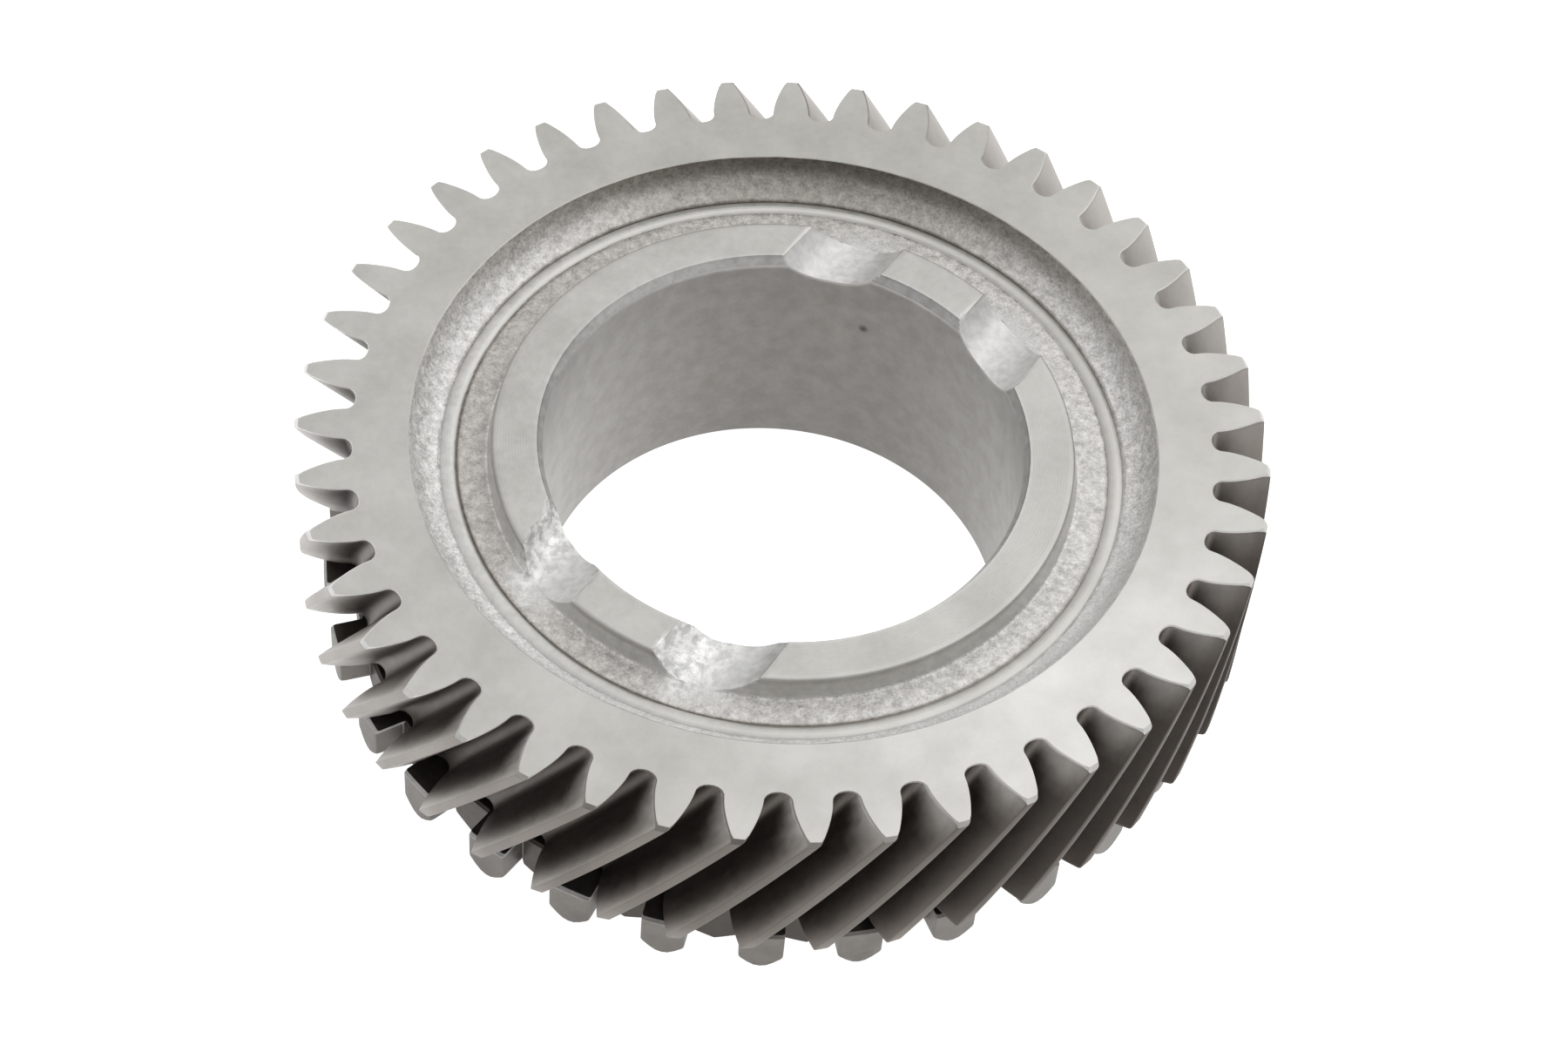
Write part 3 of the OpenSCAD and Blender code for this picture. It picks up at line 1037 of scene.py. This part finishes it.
# shaded is each finish's colour factor at full painted shade
FINISHES: dict[Zone, SteelFinish] = {
    Zone.FACE: SteelFinish("machined_face", (0.59, 0.58, 0.555), (0.73, 0.72, 0.695), (0.69, 0.685, 0.67),
                           patch=110.0),
    # the flank's near-white second colours are painted highlights only
    Zone.FLANK: SteelFinish("ground_flank", (0.40, 0.385, 0.365), (0.54, 0.525, 0.50), (0.06, 0.054, 0.05),
                            tint=(1.0, 0.9, 0.84), patch=90.0, stretch=(1.0, 1.0, 0.4), roughness=(0.42, 0.55),
                            milled_and_highlight=((0.88, 0.875, 0.86), (1.0, 0.995, 0.98))),
    Zone.FORGED: SteelFinish("forged_recess", (0.48, 0.47, 0.455), (0.97, 0.96, 0.945), (0.08, 0.07, 0.06),
                             tint=(1.0, 0.93, 0.84), patch=1000.0, grain=3200.0, patch_share=0.45,
                             roughness=(0.5, 0.7), relief=0.0001, relief_scale=1800.0, metal=0.8, milled_and_highlight=MILLED),
    Zone.LAND: SteelFinish("turned_land", (0.45, 0.442, 0.418), (0.555, 0.546, 0.52), (0.1, 0.09, 0.08), patch=110.0,
                           roughness=(0.30, 0.42), ring_pitch=0.00035, ring_relief=0.000004, milled_and_highlight=MILLED),
    Zone.BORE: SteelFinish("honed_bore", (0.415, 0.402, 0.382), (0.525, 0.512, 0.492), (0.5, 0.495, 0.485),
                           patch=420.0, grain=1500.0, roughness=(0.40, 0.5), speck=(0.00879, 0.02842, 0.02484)),
    # on the clutch steel MILLED is only a painted highlight
    Zone.CLUTCH: SteelFinish("clutch_steel", (0.145, 0.136, 0.125), (0.228, 0.215, 0.2), (0.16, 0.15, 0.14),
                             tint=(1.0, 0.93, 0.88), patch=140.0, roughness=(0.4, 0.52), milled_and_highlight=MILLED),
    Zone.CONE: SteelFinish("ground_cone", (0.46, 0.45, 0.43), (0.56, 0.55, 0.53), (0.8, 0.8, 0.8),
                           roughness=(0.30, 0.42), ring_pitch=0.0005, ring_relief=0.000005),
}


@dataclass
class SpeedGear:
    """The whole gear: one closed skin of all its surfaces."""

    levels: Levels = field(default_factory=Levels)
    sharp_angle: float = 28.0

    def build(self) -> bpy.types.Object:
        """Gathers the surfaces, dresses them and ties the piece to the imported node."""
        skin = Skin()
        rim = ToothedRim(self.levels)
        hub = HubAndRecess(self.levels)
        clutch = ClutchRing(self.levels)
        bore_low, face_out = hub.build(skin)
        face_in, rim_under = rim.build(skin)
        skin.stitch(face_out, face_in, Zone.FACE)
        relief_top, clutch_under = clutch.build(skin)
        skin.stitch(rim_under, relief_top, Zone.CLUTCH)
        cone_top, cone_low = ConeEnd(self.levels).build(skin, clutch.outline()[0], hub.uniform_angles())
        skin.join(clutch_under, cone_top, Zone.CLUTCH)
        skin.join(cone_low, bore_low, Zone.BORE)

        mesh = skin.mesh("gear_body", self.sharp_angle)
        for zone in Zone:
            mesh.materials.append(FINISHES[zone].material())
        gear = bpy.data.objects.new("gear_body", mesh)
        bpy.context.scene.collection.objects.link(gear)
        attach(gear, "root")
        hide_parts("gear")
        mesh.calc_loop_triangles()
        LOG.info("gear_body: %d vertices, %d triangles", len(mesh.vertices), len(mesh.loop_triangles))
        return gear


@dataclass
class PhotoCamera:
    """The camera at the photograph's place, in millimetres and degrees."""

    target_level: float
    distance: float = 454.8
    azimuth: float = 0.077
    elevation: float = 51.07
    roll: float = 5.38
    pan: float = 0.02
    tilt: float = 1.40
    focal_pixels: float = 4249.0
    frame_width: float = 1800.0
    sensor: float = 36.0

    def axes(self) -> tuple[Vector, Vector, Vector, Vector]:
        """The line of sight turned by roll, then pan, then tilt.

        Returns:
            The direction from the target to the camera, and the camera's right, up and back.
        """
        e, a = math.radians(self.elevation), math.radians(self.azimuth)
        spin = Matrix.Rotation(a, 3, "Z")
        sight = spin @ Vector((0, -math.cos(e), math.sin(e)))
        right = spin @ Vector((1, 0, 0))
        up = sight.cross(right)
        r, p, t = (math.radians(x) for x in (self.roll, self.pan, self.tilt))
        right, up = math.cos(r) * right + math.sin(r) * up, math.cos(r) * up - math.sin(r) * right
        back, right = math.cos(p) * sight + math.sin(p) * right, math.cos(p) * right - math.sin(p) * sight
        back, up = math.cos(t) * back + math.sin(t) * up, math.cos(t) * up - math.sin(t) * back
        return sight, right, up, back

    def build(self) -> bpy.types.Object:
        """Makes the camera and hands it to the scene."""
        sight, right, up, back = self.axes()
        data = bpy.data.cameras.new("photo_camera")
        data.sensor_width = self.sensor
        data.lens = self.focal_pixels / self.frame_width * self.sensor
        data.clip_start, data.clip_end = 0.01, 20.0
        camera = bpy.data.objects.new("photo_camera", data)
        place = sight * (self.distance * MM) + Vector((0, 0, self.target_level * MM))
        turn = Matrix((right, up, back)).transposed().to_4x4()
        camera.matrix_world = Matrix.Translation(place) @ turn
        bpy.context.scene.collection.objects.link(camera)
        bpy.context.scene.camera = camera
        return camera


@dataclass(frozen=True)
class SoftBox:
    """A square lamp with soft edges, aimed at the gear."""

    name: str
    place: Colour
    width: float
    power: float

    def build(self) -> bpy.types.Object:
        """Hangs the lamp and turns it to the gear."""
        data = bpy.data.lights.new(self.name, "AREA")
        data.shape, data.size, data.energy = "SQUARE", self.width, self.power
        lamp = bpy.data.objects.new(self.name, data)
        lamp.location = self.place
        lamp.rotation_mode = "QUATERNION"
        lamp.rotation_quaternion = (-Vector(self.place)).to_track_quat("-Z", "Y")
        bpy.context.scene.collection.objects.link(lamp)
        return lamp


@dataclass
class Studio:
    """Pale floor, soft lamps and an even sky."""

    floor_inner: float = 0.4
    floor_radius: float = 4.0
    floor_sides: int = 96
    floor_colour: Colour = (0.8, 0.8, 0.8)
    floor_lift: float = 0.85
    bright_from: Colour = (0.46, 0.47, 0.75)
    bright: Colour = (0.92, 0.92, 0.92)
    dim: Colour = (0.2, 0.2, 0.2)
    sky_range: tuple[float, float] = (-0.7, 0.85)
    lamps: tuple[SoftBox, ...] = (
        SoftBox("top_lamp", (0.5, 0.5, 1.2), 1.2, 3.0),
        SoftBox("left_lamp", (-1.0, -0.2, 0.6), 0.8, 1.0),
    )

    def floor(self) -> bpy.types.Object:
        """A flat disc: radius times the cosine and sine of the angle, in two rings."""
        sides = self.floor_sides
        angle = np.linspace(0, TURN, sides + 1)[:-1]
        points = np.concatenate([polar(self.floor_inner, angle, 0.0), polar(self.floor_radius, angle, 0.0)])
        ring = np.arange(sides)
        after = np.roll(ring, -1)
        band = np.stack([ring, ring + sides, after + sides, after], axis=-1)
        mesh = bpy.data.meshes.new("floor")
        mesh.from_pydata(points.tolist(), [], [ring.tolist(), *band.tolist()])
        white = bpy.data.materials.new("floor_white")
        w = Wiring(white)
        rays = w.add("ShaderNodeLightPath").outputs
        seen = w.sum("MAXIMUM", rays["Is Camera Ray"], rays["Is Glossy Ray"])
        seen = w.sum("MAXIMUM", seen, rays["Is Transmission Ray"])
        strength = w.sum("MULTIPLY", seen, self.floor_lift)
        lift = w.add("ShaderNodeEmission", {"Color": (1, 1, 1, 1), "Strength": strength})
        plain = w.add("ShaderNodeBsdfDiffuse", {"Color": (*self.floor_colour, 1.0)})
        both = w.add("ShaderNodeAddShader", {0: plain.outputs[0], 1: lift.outputs[0]})
        w.add("ShaderNodeOutputMaterial", {"Surface": both.outputs[0]})
        mesh.materials.append(white)
        floor = bpy.data.objects.new("floor", mesh)
        bpy.context.scene.collection.objects.link(floor)
        return floor

    def sky(self) -> None:
        """A soft sky: brightest behind and above the gear on its right, dim in front of it."""
        world = bpy.data.worlds.new("studio_sky")
        bpy.context.scene.world = world
        w = Wiring(world)
        place = w.add("ShaderNodeTexCoord").outputs["Generated"]
        along = w.add("ShaderNodeVectorMath", {0: place, 1: self.bright_from}, operation="DOT_PRODUCT")
        low, high = self.sky_range
        share = w.add("ShaderNodeMapRange", {0: along.outputs["Value"], 1: low, 2: high},
                      interpolation_type="SMOOTHSTEP").outputs[0]
        back = w.add("ShaderNodeBackground", {0: w.blend(share, self.dim, self.bright)})
        w.add("ShaderNodeOutputWorld", {0: back.outputs[0]})

    def build(self) -> None:
        """Sets the floor, the lamps, the sky and the plain view transform."""
        self.floor()
        self.sky()
        for lamp in self.lamps:
            lamp.build()
        bpy.context.scene.view_settings.view_transform = "Standard"


def main() -> None:
    """Builds the gear, the studio and the camera."""
    logging.basicConfig(level=logging.INFO, format="%(name)s: %(message)s")
    gear = SpeedGear()
    piece = gear.build()
    LOG.info("%s stands for the packed gear", piece.name)
    Studio().build()
    PhotoCamera(gear.levels.face).build()
    LOG.info("studio and camera are in place")


if __name__ == "__main__":
    main()
